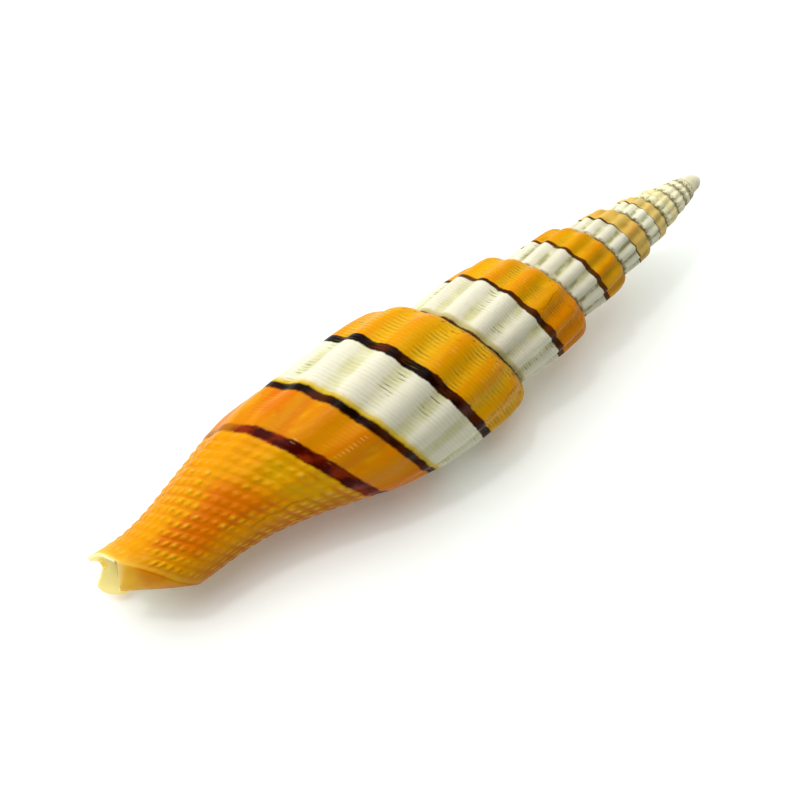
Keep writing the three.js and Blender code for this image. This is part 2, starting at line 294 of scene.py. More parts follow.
def outer_radius(column_t, w):
    t = turn_at(column_t, w)
    size = growth(t)
    back = crest(column_t)
    inside = fade(0.6, 0.7, t) * fade(15, 20, w)
    base = fade(BASE_START - 0.3, BASE_START + 1.2, w)
    base = base * (1 - 0.9 * fade(CANAL_W - 3, CANAL_W - 1, w)) * fade(LIP - 0.12, LIP + 0.1, t)
    down_base = (w - BASE_START) / (CANAL_W - BASE_START)
    cord = 0.5 + 0.5 * np.cos(2 * np.pi * CORD_COUNT * down_base)
    bead = 0.5 + 0.5 * np.cos(2 * np.pi * BEADS_PER_RIB * rib_count(column_t))
    rib = rib_relief(w) * (1 + SPIRE_RIB_GAIN * fade(0.6, 1.3, t)) * (1 - back)
    rib = rib * (1 - TIP_RIB_LOSS * fade(7.2, 8.6, t))
    sunk = rib + base * (CORD_RELIEF * 2 * (1 - cord) + BEAD_RELIEF * cord * (1 - bead))
    sunk = sunk + UNEVEN * (1 + unevenness(t, w))
    return smooth_radius(t, w) - sunk * size * (1 - inside) + fold_height(t, w)


print("radius on a rib at the lip", round(float(outer_radius(LIP, 6.0)), 2), "mm")

# %% [markdown]
# The skin starts as flat grids, one for the last whorl and one for the spire.
# A grid primitive has its corners in rows, so each corner knows how many turns
# it lies back from the lip and how far down the whorl. Moving every corner to
# its place by the growth law rolls the sheet up, as a potter rolls a slab.

# %% Roll up a grid
SPIRE_ROWS, BASE_ROWS = 54, 128
BODY_COLUMNS, SPIRE_COLUMNS = 250, 760
NO_SEAM, WELD = 99.0, 1e-7


def new_grid(name, columns, rows):
    bpy.ops.object.select_all(action="DESELECT")
    bpy.ops.mesh.primitive_grid_add(x_subdivisions=columns - 1, y_subdivisions=rows - 1, size=0.02)
    grid = bpy.context.object
    grid.name = name
    assert len(grid.data.vertices) == columns * rows, (len(grid.data.vertices), columns * rows)
    return grid


def set_points(piece, points, **facts):
    piece.data.vertices.foreach_set("co", points.reshape(-1))
    for name, values in facts.items():
        layer = piece.data.attributes.new(name, "FLOAT", "POINT")
        flat = np.broadcast_to(values, points.shape[:2]).reshape(-1)
        layer.data.foreach_set("value", flat.astype(np.float32))
    piece.data.update()


def rolled_sheet(name, column_turns, depths):
    """column_turns has one value a column; depths gives w for every row and column."""
    grid = new_grid(name, len(column_turns), len(depths))
    column_t = np.broadcast_to(column_turns, depths.shape)
    t = turn_at(column_t, depths)
    points = place(reach(t, depths), outer_radius(column_t, depths), azimuth(t))
    rows = np.arange(len(depths))[:, None]
    to_next = np.where(column_t > LIP + 1, bare_height(column_t) - depths, NO_SEAM)
    seam = np.minimum(depths, np.maximum(to_next, 0)) * growth(column_t)
    set_points(grid, points, turn=column_t, drop=depths, back=crest(column_t), row=rows,
               seam=seam)
    return grid


print("rows", SPIRE_ROWS + BASE_ROWS + 1, "and", SPIRE_ROWS + 1)

# %% [markdown]
# The last whorl is seen down to its base, so its sheet has many rows. Of an
# older whorl only the part above the next suture is bare. Up the spire the
# columns stand at even steps of the rib count, so that each rib gets as many.

# %% Two sheets
BARE_SHARE, ROW_CROWDING = 0.985, 1.25
STEADY_STEPS, TIP_CROWDING = 0.72, 0.28
LAST_RIB_SHARE = 0.17
shares = BARE_SHARE * np.linspace(0, 1, SPIRE_ROWS + 1) ** ROW_CROWDING
body_turns = np.linspace(LIP, LIP + 1, BODY_COLUMNS + 1)
upper = shares[:, None] * bare_height(body_turns)[None]
steps = np.linspace(0, 1, BASE_ROWS + 1)[1:, None]
lower = upper[-1] + (CANAL_W - upper[-1]) * steps
body = rolled_sheet("body_whorl", body_turns, np.vstack([upper, lower]))
spire_end = turn_of_rib(math.floor(float(rib_count(LAST_TURN))) + LAST_RIB_SHARE)
shares_up = np.linspace(0, 1, SPIRE_COLUMNS + 1)
shares_up = STEADY_STEPS * shares_up + TIP_CROWDING * shares_up ** 2
ribs_at = float(rib_count(LIP + 1)) * (1 - shares_up) + float(rib_count(spire_end)) * shares_up
spire_turns = np.array([turn_of_rib(n) for n in ribs_at])
spire_turns[0] = LIP + 1
spire = rolled_sheet("spire", spire_turns, shares[:, None] * bare_height(spire_turns)[None])
print("body corners", len(body.data.vertices), "spire corners", len(spire.data.vertices))

# %% [markdown]
# The two sheets are joined and welded along their common column, as two sheets
# of clay are pressed together at their edges.

# %% Join and weld
bpy.ops.object.select_all(action="DESELECT")
body.select_set(True)
spire.select_set(True)
bpy.context.view_layer.objects.active = body
bpy.ops.object.join()
shell = body
shell.name = "shell_dressed"
bpy.ops.object.mode_set(mode="EDIT")
bpy.ops.mesh.select_all(action="SELECT")
bpy.ops.mesh.remove_doubles(threshold=WELD)
bpy.ops.object.mode_set(mode="OBJECT")
print("welded corners", len(shell.data.vertices))

# %% [markdown]
# The skin needs two materials, one for the painted outside and one for the
# bare inside. Then the edges that are still open are looked up by the turn and
# the row that every corner carries.

# %% Find the open edges
SAME = 1e-5
outside = bpy.data.materials.new("shell_outside")
inside = bpy.data.materials.new("shell_inside")
for material in (outside, inside):
    material.use_nodes = True
    shell.data.materials.append(material)
skin = bmesh.new()
skin.from_mesh(shell.data)
layers = skin.verts.layers.float
turn, row, drop, back, seam = (layers[n] for n in ("turn", "row", "drop", "back", "seam"))


def edge_of(layer, goal, order, keep=lambda v: True):
    """The corners at one turn or row, in the order of the other."""
    found = [v for v in skin.verts if abs(v[layer] - goal) < SAME and keep(v)]
    return sorted(found, key=lambda v: v[order])


top_row = edge_of(row, 0, turn)
low_row = edge_of(row, SPIRE_ROWS, turn, lambda v: v[turn] > LIP + 1 - SAME)
lip_column = edge_of(turn, LIP, row)
closing = edge_of(turn, LIP + 1, row, lambda v: v[row] > SPIRE_ROWS - 0.5)
foot_row = edge_of(row, SPIRE_ROWS + BASE_ROWS, turn)
tip_column = edge_of(turn, spire_end, row)
print("open edges", [len(e) for e in (top_row, low_row, lip_column, closing, foot_row, tip_column)])

# %% [markdown]
# The gap at the suture is closed like a zip: the lower edge of each old whorl
# is laced to the upper edge of the whorl below it. The two edges have other
# spacings, so each new triangle takes the next corner of the edge that lags.

# %% Lace the sutures
def lace(mesh, upper_row, lower_row, upper_key, lower_key):
    i = j = 0
    made = []
    while i + 1 < len(upper_row) or j + 1 < len(lower_row):
        next_upper = upper_key[i + 1] if i + 1 < len(upper_row) else math.inf
        next_lower = lower_key[j + 1] if j + 1 < len(lower_row) else math.inf
        if next_upper <= next_lower:
            made.append(mesh.faces.new((upper_row[i], lower_row[j], upper_row[i + 1])))
            i += 1
        else:
            made.append(mesh.faces.new((upper_row[i], lower_row[j], lower_row[j + 1])))
            j += 1
    return made


low_lean = float(lean(shares[-1] * bare_height(1.0)))
top_key = [v[turn] + float(lean(0)) + 1 for v in top_row]
low_key = [v[turn] + low_lean for v in low_row]
end = next(k for k, key in enumerate(top_key) if key > low_key[-1])
lace(skin, low_row, top_row[:end], low_key, top_key)
print("laced", len(low_row), "low corners to", end, "suture corners")

# %% [markdown]
# The base closes to one point on the axis, the heart of the canal. Each corner of its rim sends a
# spoke there. On the side that is seen, the spokes swell out a little, because the real foot is
# rounded and not flat. The seam attribute falls there, so that the paint can put painted shade into
# the fold.

# %% Close the foot of the canal
CANAL_HEART, FOOT_BULGE, FOOT_SHARES = 66.4, 0.00014, (0.12, 0.3, 0.55, 0.8)
FAR_FROM_SEAM, AT_SEAM, BARE_FOOT_END = 9.0, 0.08, 0.11


def mark(v, at_turn, at_drop):
    v[turn], v[drop], v[back], v[seam] = at_turn, at_drop, 1.0, FAR_FROM_SEAM


heart = skin.verts.new(place(np.array(CANAL_HEART), np.array(0.0), 0.0))
mark(heart, 0.4, CANAL_W)
spokes = [v.co - heart.co for v in foot_row if 0.15 < v[turn] < 0.5]
outward = sum((a.cross(b) for a, b in zip(spokes, spokes[1:])), Vector()).normalized()
outward = outward if outward.x < 0 else -outward
columns = [[foot_row[0], heart]]
for v in foot_row[1:-1]:
    column = [v]
    swell = FOOT_BULGE * float(fade(0.10, 0.24, v[turn]) * (1 - fade(0.35, 0.55, v[turn])))
    for share in FOOT_SHARES:
        lift = outward * swell * math.sin(math.pi * share ** 0.6)
        inner = skin.verts.new(v.co.lerp(heart.co, share) + lift)
        mark(inner, v[turn], CANAL_W)
        column.append(inner)
    v[seam] = FAR_FROM_SEAM + (AT_SEAM - FAR_FROM_SEAM) * float(fade(0.12, 0.2, v[turn]))
    columns.append(column + [heart])
columns.append([foot_row[-1], heart])
for one, two in zip(columns, columns[1:]):
    if len(one) == len(two):
        corners = [(one[i], one[i + 1], two[i + 1], two[i]) for i in range(len(one) - 2)]
        corners.append((one[-2], heart, two[-2]))
    else:
        apex, long = (one[0], two) if len(one) < len(two) else (two[0], one)
        corners = [(apex, a, b) for a, b in zip(long, long[1:])]
    for face_corners in corners:
        skin.faces.new(face_corners).material_index = int(one[0][turn] < BARE_FOOT_END)
print("foot faces out", [round(c, 2) for c in outward])

# %% [markdown]
# A flat skin closes the mouth: the living chamber is cut through it in a later
# step. The worn tip gets a few rings that narrow to a blunt dome. Each ring has
# a corner at the angle of every corner of the edge above it.

# %% Close the mouth and the tip
TIP_RINGS, TIP_TOP = ((0.72, 0.8), (0.45, 0.68), (0.22, 0.5), (0.08, 0.3)), 0.055
TIP_DROP = 8.0
mouth_edge = closing + [heart]
mouth = lace(skin, mouth_edge, lip_column, [-v.co.x for v in closing] + [math.inf],
             [-v.co.x for v in lip_column])
for face in mouth:
    face.material_index = 1
above = top_row[end - 1:] + tip_column[1:]
own_places = [rest_turn.T @ (np.array(v.co) * 1000 - REST_SHIFT) for v in above]
angles = [math.atan2(own[1], own[2]) for own in own_places]
for a, r in TIP_RINGS:
    ring = []
    for angle in angles:
        ring.append(skin.verts.new(place(np.array(a), np.array(r), angle)))
        mark(ring[-1], LAST_TURN + 0.3, TIP_DROP)
    for k in range(len(ring)):
        n = (k + 1) % len(ring)
        skin.faces.new((above[k], above[n], ring[n], ring[k]))
    above = ring
top = skin.verts.new(place(np.array(TIP_TOP), np.array(0.0), 0.0))
mark(top, LAST_TURN + 0.5, TIP_DROP)
for k in range(len(above)):
    skin.faces.new((above[k], above[(k + 1) % len(above)], top))
open_edges = sum(1 for e in skin.edges if len(e.link_faces) != 2)
print("corners", len(skin.verts), "faces", len(skin.faces), "edges not closed", open_edges)
bmesh.ops.recalc_face_normals(skin, faces=skin.faces)
skin.to_mesh(shell.data)
skin.free()

# %% [markdown]
# The living chamber is the room under the last whorl, with the older whorl and
# its folds as the inner wall. It is made as a solid tube of its own. Taking it
# away from the skin opens the mouth and leaves the wall and the thin lip.

# %% Chamber
WALL, CANAL_WALL, LEAST_ROOM = 0.8, 0.7, 0.25
CHAMBER_DEPTH, CANAL_DEPTH, CHAMBER_PAST_LIP, CLEARANCE = 0.55, 0.08, 0.19, 0.12
CHAMBER_ROWS, CHAMBER_STEPS = 90, 60
CHAMBER_TOP_W, CHAMBER_END_W, CHAMBER_CROWDING = 1.1, 36.5, 1.1


def place_at(t, a):
    top = suture(t) + growth(t) * BASE_START
    beyond = (a - top) / (canal_end(t) - top) * (CANAL_W - BASE_START) + BASE_START
    return np.where(a <= top, (a - suture(t)) / growth(t), beyond)


def inner_radius(t, a):
    w = place_at(t + 1, a)
    whorl = smooth_radius(t + 1, np.minimum(w, CANAL_W)) + fold_height(t + 1, w)
    share = fade(30, 37, w)
    return np.maximum((1 - share) * whorl + share * columella(a), columella(a)) + CLEARANCE


steps_t = np.linspace(LIP - CHAMBER_PAST_LIP, CHAMBER_DEPTH, CHAMBER_STEPS + 1)[None]
rows_w = np.linspace(0, 1, CHAMBER_ROWS + 1)[:, None] ** CHAMBER_CROWDING
rows_w = CHAMBER_TOP_W + (CHAMBER_END_W - CHAMBER_TOP_W) * rows_w
shorten = 1 - 0.32 * fade(CANAL_DEPTH, 0.2, steps_t) - 0.16 * fade(0.2, CHAMBER_DEPTH, steps_t)
chamber_w = rows_w * shorten
chamber_t = steps_t + lean(chamber_w)
chamber_a = reach(chamber_t, chamber_w)
wall = WALL + (CANAL_WALL - WALL) * fade(14, 28, chamber_w) - 0.3 * fade(29, 33, chamber_w)
wall = wall * (1 - 0.3 * (1 - fade(LIP, LIP + 0.05, steps_t))) + rib_relief(chamber_w)
low = inner_radius(chamber_t, chamber_a)
high = smooth_radius(chamber_t, np.minimum(chamber_w, CANAL_W)) - wall
high = np.maximum(high, low + LEAST_ROOM)
print("widest room", round(float((high - low).max()), 2), "mm")

# %% [markdown]
# The tube is one more rolled grid: its rows run down the outer wall, up the
# inner one and back to the first row. Faces across its two ends make it solid.

# %% Roll up the chamber
tube_r = np.vstack([high, low[::-1], high[:1]])
tube_a, tube_t, tube_w = (np.vstack([wall_side, wall_side[::-1], wall_side[:1]])
                          for wall_side in (chamber_a, chamber_t, chamber_w))
tall, wide = tube_r.shape
chamber = new_grid("chamber", wide, tall)
set_points(chamber, place(tube_a, tube_r, azimuth(tube_t)), turn=steps_t, drop=tube_w, back=1.0,
           row=0.0, seam=FAR_FROM_SEAM)
room = bmesh.new()
room.from_mesh(chamber.data)
room.verts.ensure_lookup_table()
for column in (0, wide - 1):
    for k in range(CHAMBER_ROWS):
        around_end = (k, k + 1, tall - 3 - k, tall - 2 - k)
        room.faces.new([room.verts[wide * i + column] for i in around_end])
bmesh.ops.remove_doubles(room, verts=room.verts, dist=WELD)
bmesh.ops.recalc_face_normals(room, faces=room.faces)
open_edges = sum(1 for e in room.edges if len(e.link_faces) != 2)
print("chamber faces", len(room.faces), "open edges", open_edges)
room.to_mesh(chamber.data)
room.free()

# %% [markdown]
# Two materials keep the border between the painted outside and the bare inside
# sharp after the cut, because each face keeps the material it had.

# %% Cut the chamber
for material in (outside, inside):
    chamber.data.materials.append(material)
chamber.data.polygons.foreach_set("material_index", [1] * len(chamber.data.polygons))


def combine(target, other, operation):
    bpy.ops.object.select_all(action="DESELECT")
    target.select_set(True)
    bpy.context.view_layer.objects.active = target
    cut = target.modifiers.new("cut", "BOOLEAN")
    cut.operation = operation
    cut.object = other
    cut.solver = "MANIFOLD"
    bpy.ops.object.modifier_apply(modifier="cut")
    bpy.data.objects.remove(other)


combine(shell, chamber, "DIFFERENCE")
counts = [0, 0]
for face in shell.data.polygons:
    counts[face.material_index] += 1
print("outside faces", counts[0], "inside faces", counts[1])

# %% [markdown]
# A little set of helpers makes node trees readable: a value is a socket, and
# each helper adds one node and gives back its output.

# %% Node helpers
class Tree:
    def __init__(self, material):
        self.nodes = material.node_tree.nodes
        self.links = material.node_tree.links
        self.shader = self.nodes["Principled BSDF"]

    def put(self, socket, value):
        if isinstance(value, bpy.types.NodeSocket):
            self.links.new(value, socket)
        elif isinstance(value, tuple) and len(value) == 3 and socket.type == "RGBA":
            socket.default_value = (*value, 1)
        else:
            socket.default_value = value

    def attribute(self, name):
        node = self.nodes.new("ShaderNodeAttribute")
        node.attribute_name = name
        return node.outputs["Fac"]

    def math(self, operation, *values):
        node = self.nodes.new("ShaderNodeMath")
        node.operation = operation
        for socket, value in zip(node.inputs, values):
            self.put(socket, value)
        return node.outputs[0]

    def smooth(self, value, low, high, start=0.0, end=1.0):
        node = self.nodes.new("ShaderNodeMapRange")
        node.interpolation_type = "SMOOTHSTEP"
        for name, given in (("Value", value), ("From Min", low), ("From Max", high),
                            ("To Min", start), ("To Max", end)):
            self.put(node.inputs[name], given)
        return node.outputs[0]

    def mix(self, share, first, second, blend="MIX"):
        node = self.nodes.new("ShaderNodeMix")
        node.data_type = "RGBA"
        node.blend_type = blend
        self.put(node.inputs["Factor"], share)
        self.put(node.inputs["A"], first)
        self.put(node.inputs["B"], second)
        return node.outputs["Result"]

    def vector(self, x, y, z):
        node = self.nodes.new("ShaderNodeCombineXYZ")
        for socket, value in zip(node.inputs, (x, y, z)):
            self.put(socket, value)
        return node.outputs[0]

    def noise(self, where, scale, detail=2.0):
        node = self.nodes.new("ShaderNodeTexNoise")
        self.put(node.inputs["Vector"], where)
        node.inputs["Scale"].default_value = scale
        node.inputs["Detail"].default_value = detail
        return node.outputs["Fac"]

    def place(self):
        return self.nodes.new("ShaderNodeTexCoord").outputs["Object"]

    def bump(self, height, distance, strength=1.0):
        node = self.nodes.new("ShaderNodeBump")
        node.inputs["Strength"].default_value = strength
        node.inputs["Distance"].default_value = distance
        self.put(node.inputs["Height"], height)
        self.links.new(node.outputs[0], self.shader.inputs["Normal"])


print("helpers ready")

# %% [markdown]
# The outside. The animal lays its colours down at fixed places on the edge of
# its mantle, so every colour line is a line of equal drop below the suture.
# The paint therefore reads the turn and the drop that each corner carries, and
# not its place in the room.

# %% Places on the sheet
AROUND_MM = 52.0
paint = Tree(outside)
drop, turns, ridge = (paint.attribute(n) for n in ("drop", "turn", "back"))
around = paint.math("MULTIPLY", turns, AROUND_MM)
sheet_place = paint.vector(around, drop, 0.0)


def spread(across, down, layer):
    """A place on the sheet, pulled out along or across it, for a noise of its own."""
    return paint.vector(paint.math("MULTIPLY", around, across),
                        paint.math("MULTIPLY", drop, down), layer)


def product(*values):
    total = values[0]
    for value in values[1:]:
        total = paint.math("MULTIPLY", total, value)
    return total


def centred(where, scale, detail):
    """A noise that swings evenly round nothing."""
    return paint.math("SUBTRACT", paint.noise(where, scale, detail), 0.5)


def patches(where, scale, detail, low, high, start=0.0, end=1.0):
    """Soft-edged patches: a noise that is cut off between two of its heights."""
    return paint.smooth(paint.noise(where, scale, detail), low, high, start, end)


def wave(kind, phase):
    """A wave between nothing and one."""
    return paint.math("MULTIPLY_ADD", paint.math(kind, phase), 0.5, 0.5)


print("the sheet is", AROUND_MM, "mm a turn for the noises")

# %% [markdown]
# Nothing on a shell is ruled. The drop is made to waver a little before the
# lines are drawn at it. On older whorls it is shifted too, because their
# orange zone is narrower. Streaks and bands give every season its own shade,
# and the gaps are found from the height of the ribs.

# %% Levels, streaks and gaps
wobble = centred(sheet_place, 0.6, 3.0)
jag = centred(spread(1.0, 0.5, 9.0), 1.4, 5.0)
level = paint.math("ADD", drop, paint.math("MULTIPLY", wobble, 0.3))
level = paint.math("MULTIPLY_ADD", jag, 0.38, level)
level = paint.math("ADD", level, paint.smooth(turns, 2.2, 4.2, 0.0, 1.9))
low_level = paint.math("SUBTRACT", level, paint.smooth(turns, 0.6, 1.0, 0.0, 0.75))
streaky = patches(spread(1.0, 0.15, 3.0), 0.9, 4.0, 0.35, 0.68)
growth_band = paint.noise(spread(0.22, 0.02, 5.0), 1.0, 3.0)
banded = paint.smooth(growth_band, 0.42, 0.62)
gap = paint.smooth(ridge, 0.75, 0.12)
pale_gap = paint.smooth(ridge, 0.6, 0.08)
deep_gap = paint.smooth(ridge, 0.3, 0.02)
this_turn = paint.math("FRACT", turns)
print("nodes so far", len(paint.nodes))

# %% [markdown]
# Fine furrows run round the shell, evenly spaced but never quite straight, and
# cords with beads cover the base. Both are waves of the drop below the suture.
# The beads follow the ribs of the mesh, three to each.

# %% Furrows, cords and beads
STRIA_PITCH = 0.42
waver = paint.math("MULTIPLY", centred(sheet_place, 0.5, 3.0), 4.5)
stria_phase = paint.math("MULTIPLY_ADD", drop, 2 * math.pi / STRIA_PITCH, waver)
stria = wave("SINE", stria_phase)
furrow = paint.smooth(stria, 0.4, 0.05)
stria_here = patches(spread(0.5, 0.8, 11.0), 0.55, 3.0, 0.35, 0.62, 0.15, 1.0)
cord_phase = paint.math("MULTIPLY", paint.math("SUBTRACT", drop, BASE_START),
                        2 * math.pi * CORD_COUNT / (CANAL_W - BASE_START))
cord = wave("COSINE", paint.math("MULTIPLY_ADD", wobble, 2.2, cord_phase))
early_ribs = paint.math("MULTIPLY_ADD", product(turns, turns), RIB_GAIN,
                        paint.math("MULTIPLY", turns, RIB_RATE))
early_ribs = paint.math("SUBTRACT", early_ribs, RIB_RATE * RIB_START)
bead_phase = paint.math("MULTIPLY", early_ribs, 2 * math.pi * BEADS_PER_RIB)
bead = product(wave("COSINE", paint.math("MULTIPLY_ADD", wobble, 3.2, bead_phase)), cord)
bead_here = patches(spread(0.5, 0.6, 23.0), 0.5, 3.0, 0.40, 0.60, 0.15, 1.0)
on_base = paint.smooth(drop, 19.8, 20.8)
print("furrow pitch", STRIA_PITCH, "cords", CORD_COUNT)

# %% [markdown]
# Three dark lines part four zones: orange, white, deep orange and the mottled base. Each zone is a
# mix of near colours, so that it looks grown and not printed. The first orange is darker and redder
# on one part of the first spire whorl, and it bleaches up the spire.

# %% Orange and white
orange = paint.mix(streaky, (0.90, 0.34, 0.001), (0.93, 0.40, 0.001))
orange = paint.mix(paint.math("MULTIPLY", banded, 0.6), orange, (0.93, 0.52, 0.003))
orange = paint.mix(paint.math("MULTIPLY", gap, 0.5), orange, (0.90, 0.52, 0.003))
redder_part = product(paint.smooth(this_turn, 0.27, 0.33), paint.smooth(turns, 0.9, 1.1),
                paint.smooth(turns, 1.7, 1.5))
orange = paint.mix(redder_part, orange, (0.88, 0.30, 0.001))
bleach = paint.math("MULTIPLY_ADD", growth_band, 1.6, turns)
orange = paint.mix(paint.smooth(bleach, 3.0, 4.5, 0.0, 0.78), orange, (0.88, 0.68, 0.20))
gap_stain_and_shade = patches(spread(0.5, 0.7, 37.0), 0.5, 4.0, 0.35, 0.65, 0.25, 0.8)
# The gaps of the white zone are painted grey-green: partly real stain, partly painted shade in the
# gaps.
white = paint.mix(product(pale_gap, gap_stain_and_shade), (0.95, 0.95, 0.755), (0.74, 0.74, 0.34))
white = paint.mix(paint.math("MULTIPLY", banded, 0.25), white, (0.80, 0.78, 0.56))
print("orange and white mixed")

# %% [markdown]
# The deep orange is mottled. The dark lines are nearly black on the last whorl
# and brown on older ones, where the first line is thinner at first, thickens
# round the whorl and is worn away in places from the third whorl up.

# %% Deep orange and the dark lines
deep = paint.mix(streaky, (0.80, 0.21, 0.001), (0.86, 0.32, 0.001))
deep = paint.mix(paint.math("MULTIPLY", banded, 0.6), deep, (0.88, 0.35, 0.002))
mottle = paint.noise(spread(0.75, 0.5, 47.0), 0.55, 5.0)
deep = paint.mix(paint.smooth(mottle, 0.56, 0.70, 0.0, 0.7), deep, (0.80, 0.15, 0.001))
deep = paint.mix(paint.smooth(mottle, 0.44, 0.32, 0.0, 0.6), deep, (0.95, 0.48, 0.01))
deep = paint.mix(paint.smooth(turns, 0.7, 0.85), deep, (0.14, 0.09, 0.02))
dark_patches = patches(spread(0.5, 0.6, 43.0), 0.7, 4.0, 0.45, 0.65)
dark = paint.mix(dark_patches, (0.010, 0.002, 0.001), (0.09, 0.016, 0.003))
old_dark = paint.mix(banded, (0.055, 0.012, 0.002), (0.16, 0.045, 0.005))
dark = paint.mix(paint.smooth(turns, 0.8, 1.1), dark, old_dark)
line_half = paint.math("MULTIPLY_ADD", growth_band, 0.34,
                       paint.smooth(turns, 0.6, 1.1, 0.36, 0.12))
thicker = product(paint.smooth(this_turn, 0.15, 0.36, 0.0, 0.24), paint.smooth(turns, 0.9, 1.1))
line_half = paint.math("ADD", line_half, thicker)
seen_part = paint.math("FRACT", paint.math("ADD", turns, 0.25))
worn_line = product(paint.smooth(seen_part, 0.37, 0.53), paint.smooth(turns, 2.7, 3.0), 0.38)
line_half = paint.math("SUBTRACT", line_half, worn_line)
print("deep orange and lines mixed")

# %% [markdown]
# The base is the liveliest part: yellow where it is thin, red-orange in the middle, greenish yellow
# under the third line and darker where it turns under the shell, with paler beads. The canal foot
# has no beads and a softer mix.

# %% Base colours
stage = paint.math("ADD", turns, paint.math("MULTIPLY", centred(sheet_place, 0.22, 4.0), 0.16))
mid_red = product(paint.smooth(stage, 0.10, 0.17), paint.smooth(stage, 0.34, 0.24),
                  paint.smooth(drop, 22.5, 25.5), paint.smooth(drop, 32.0, 30.5))
lime = product(paint.smooth(stage, 0.16, 0.22), paint.smooth(stage, 0.46, 0.38),
               paint.smooth(drop, 24.2, 22.0), patches(sheet_place, 0.5, 4.0, 0.35, 0.6, 0.35, 0.9))
base = paint.mix(paint.math("MULTIPLY", streaky, 0.35), (0.94, 0.40, 0.001), (0.92, 0.31, 0.001))
soft_base = paint.mix(patches(paint.place(), 420.0, 2.0, 0.4, 0.6), (0.95, 0.44, 0.002),
                      (0.90, 0.30, 0.001))
base = paint.mix(paint.smooth(drop, 32.4, 33.2), base, soft_base)
base = paint.mix(paint.math("MULTIPLY", mid_red, 0.85), base, (0.82, 0.17, 0.001))
base = paint.mix(lime, base, (0.84, 0.47, 0.003))
base = paint.mix(paint.smooth(turns, 0.3, 0.42, 0.0, 0.85), base, (0.60, 0.17, 0.002))
off_foot = paint.smooth(drop, 33.3, 32.9)
pale_bead = product(bead, 0.85, bead_here, paint.smooth(stage, 0.04, 0.14), off_foot)
base = paint.mix(pale_bead, base, (0.97, 0.54, 0.006))
between_cords = product(paint.smooth(cord, 0.45, 0.0), bead_here, off_foot, 0.42)
base = paint.mix(between_cords, base, (0.70, 0.15, 0.001))
print("base mixed")

# %% [markdown]
# Now the zones are laid over each other from the suture down, and the lines go
# over their borders. The third line is cloudy red-brown, pale at the lip, and
# gets wider with age. A yellow fringe runs above the second.

# %% Lay the zones and lines
FIRST_LINE, SECOND_LINE, THIRD_LINE = 6.55, 13.63, 19.3
clouds = patches(spread(0.45, 0.9, 41.0), 0.8, 5.0, 0.42, 0.62)
red = paint.mix(clouds, (0.07, 0.003, 0.001), (0.27, 0.024, 0.001))
red = paint.mix(paint.smooth(stage, 0.07, 0.03), red, (0.50, 0.17, 0.006))
red_half = paint.smooth(stage, 0.02, 0.25, 0.36, 0.66)
second_half = paint.smooth(turns, 0.6, 1.0, 0.44, 0.28)
fringe = paint.mix(paint.smooth(turns, 0.7, 1.0), (0.80, 0.56, 0.02), (0.62, 0.55, 0.22))


def over(below, colour, height, low, high):
    return paint.mix(paint.smooth(height, low, high), below, colour)


def line(below, height, centre, half, colour, soft=0.1):
    off = paint.math("ABSOLUTE", paint.math("SUBTRACT", height, centre))
    past = paint.math("SUBTRACT", off, half)
    return paint.mix(paint.smooth(past, soft, -soft), below, colour)


zones = over(orange, white, level, 6.45, 6.6)
zones = over(zones, fringe, low_level, 12.35, 13.1)
zones = over(zones, deep, low_level, 13.5, 13.9)
zones = over(zones, base, level, 19.0, 19.4)
zones = line(zones, level, FIRST_LINE, line_half, dark)
zones = line(zones, low_level, SECOND_LINE, second_half, dark, 0.16)
zones = line(zones, level, THIRD_LINE, red_half, red, 0.16)
print("lines at", FIRST_LINE, SECOND_LINE, THIRD_LINE)

# %% [markdown]
# Growth marks. Where the animal paused, the lip left a thin line across the
# zones. Such a line lies along the ribs, with a turn of its own, and here each
# is given with the drops between which it shows.

# %% Growth marks
MARKS = ((0.318, 22.5, 27.0, 0.0030), (0.405, 0.8, 6.0, 0.0022), (1.288, 1.0, 5.5, 0.0018))
MARK_STRENGTH = 0.38
drift = paint.math("MULTIPLY_ADD", wobble, 0.035, turns)
drift = paint.math("MULTIPLY_ADD", jag, 0.012, drift)
for at_turn, from_drop, to_drop, width in MARKS:
    off = paint.math("ABSOLUTE", paint.math("SUBTRACT", drift, at_turn))
    mark_here = product(paint.smooth(off, width * 1.6, width * 0.4),
                        paint.smooth(drop, from_drop - 0.5, from_drop + 0.5),
                        paint.smooth(drop, to_drop + 0.5, to_drop - 0.5), MARK_STRENGTH)
    zones = paint.mix(mark_here, zones, (0.30, 0.10, 0.004))
print(len(MARKS), "growth marks")

# %% [markdown]
# Higher up the spire the colour bleaches to cream, and the tip is rubbed down
# to grey. The first line bleaches later than the zones that it parts, so it is
# drawn once more over the faded colours.

# %% Age
aged = paint.mix(paint.smooth(bleach, 4.6, 6.4, 0.0, 0.85), zones, (0.94, 0.87, 0.50))
old_line = line(aged, level, FIRST_LINE, paint.math("MULTIPLY", line_half, 0.8),
                (0.13, 0.04, 0.006))
still_dark = product(paint.smooth(turns, 1.8, 2.4), paint.smooth(bleach, 5.4, 4.4))
aged = paint.mix(still_dark, aged, old_line)
aged = paint.mix(paint.smooth(bleach, 6.0, 7.2), aged, (0.95, 0.89, 0.60))
aged = paint.mix(paint.smooth(turns, 8.6, 9.1), aged, (0.84, 0.80, 0.58))
print("nodes so far", len(paint.nodes))
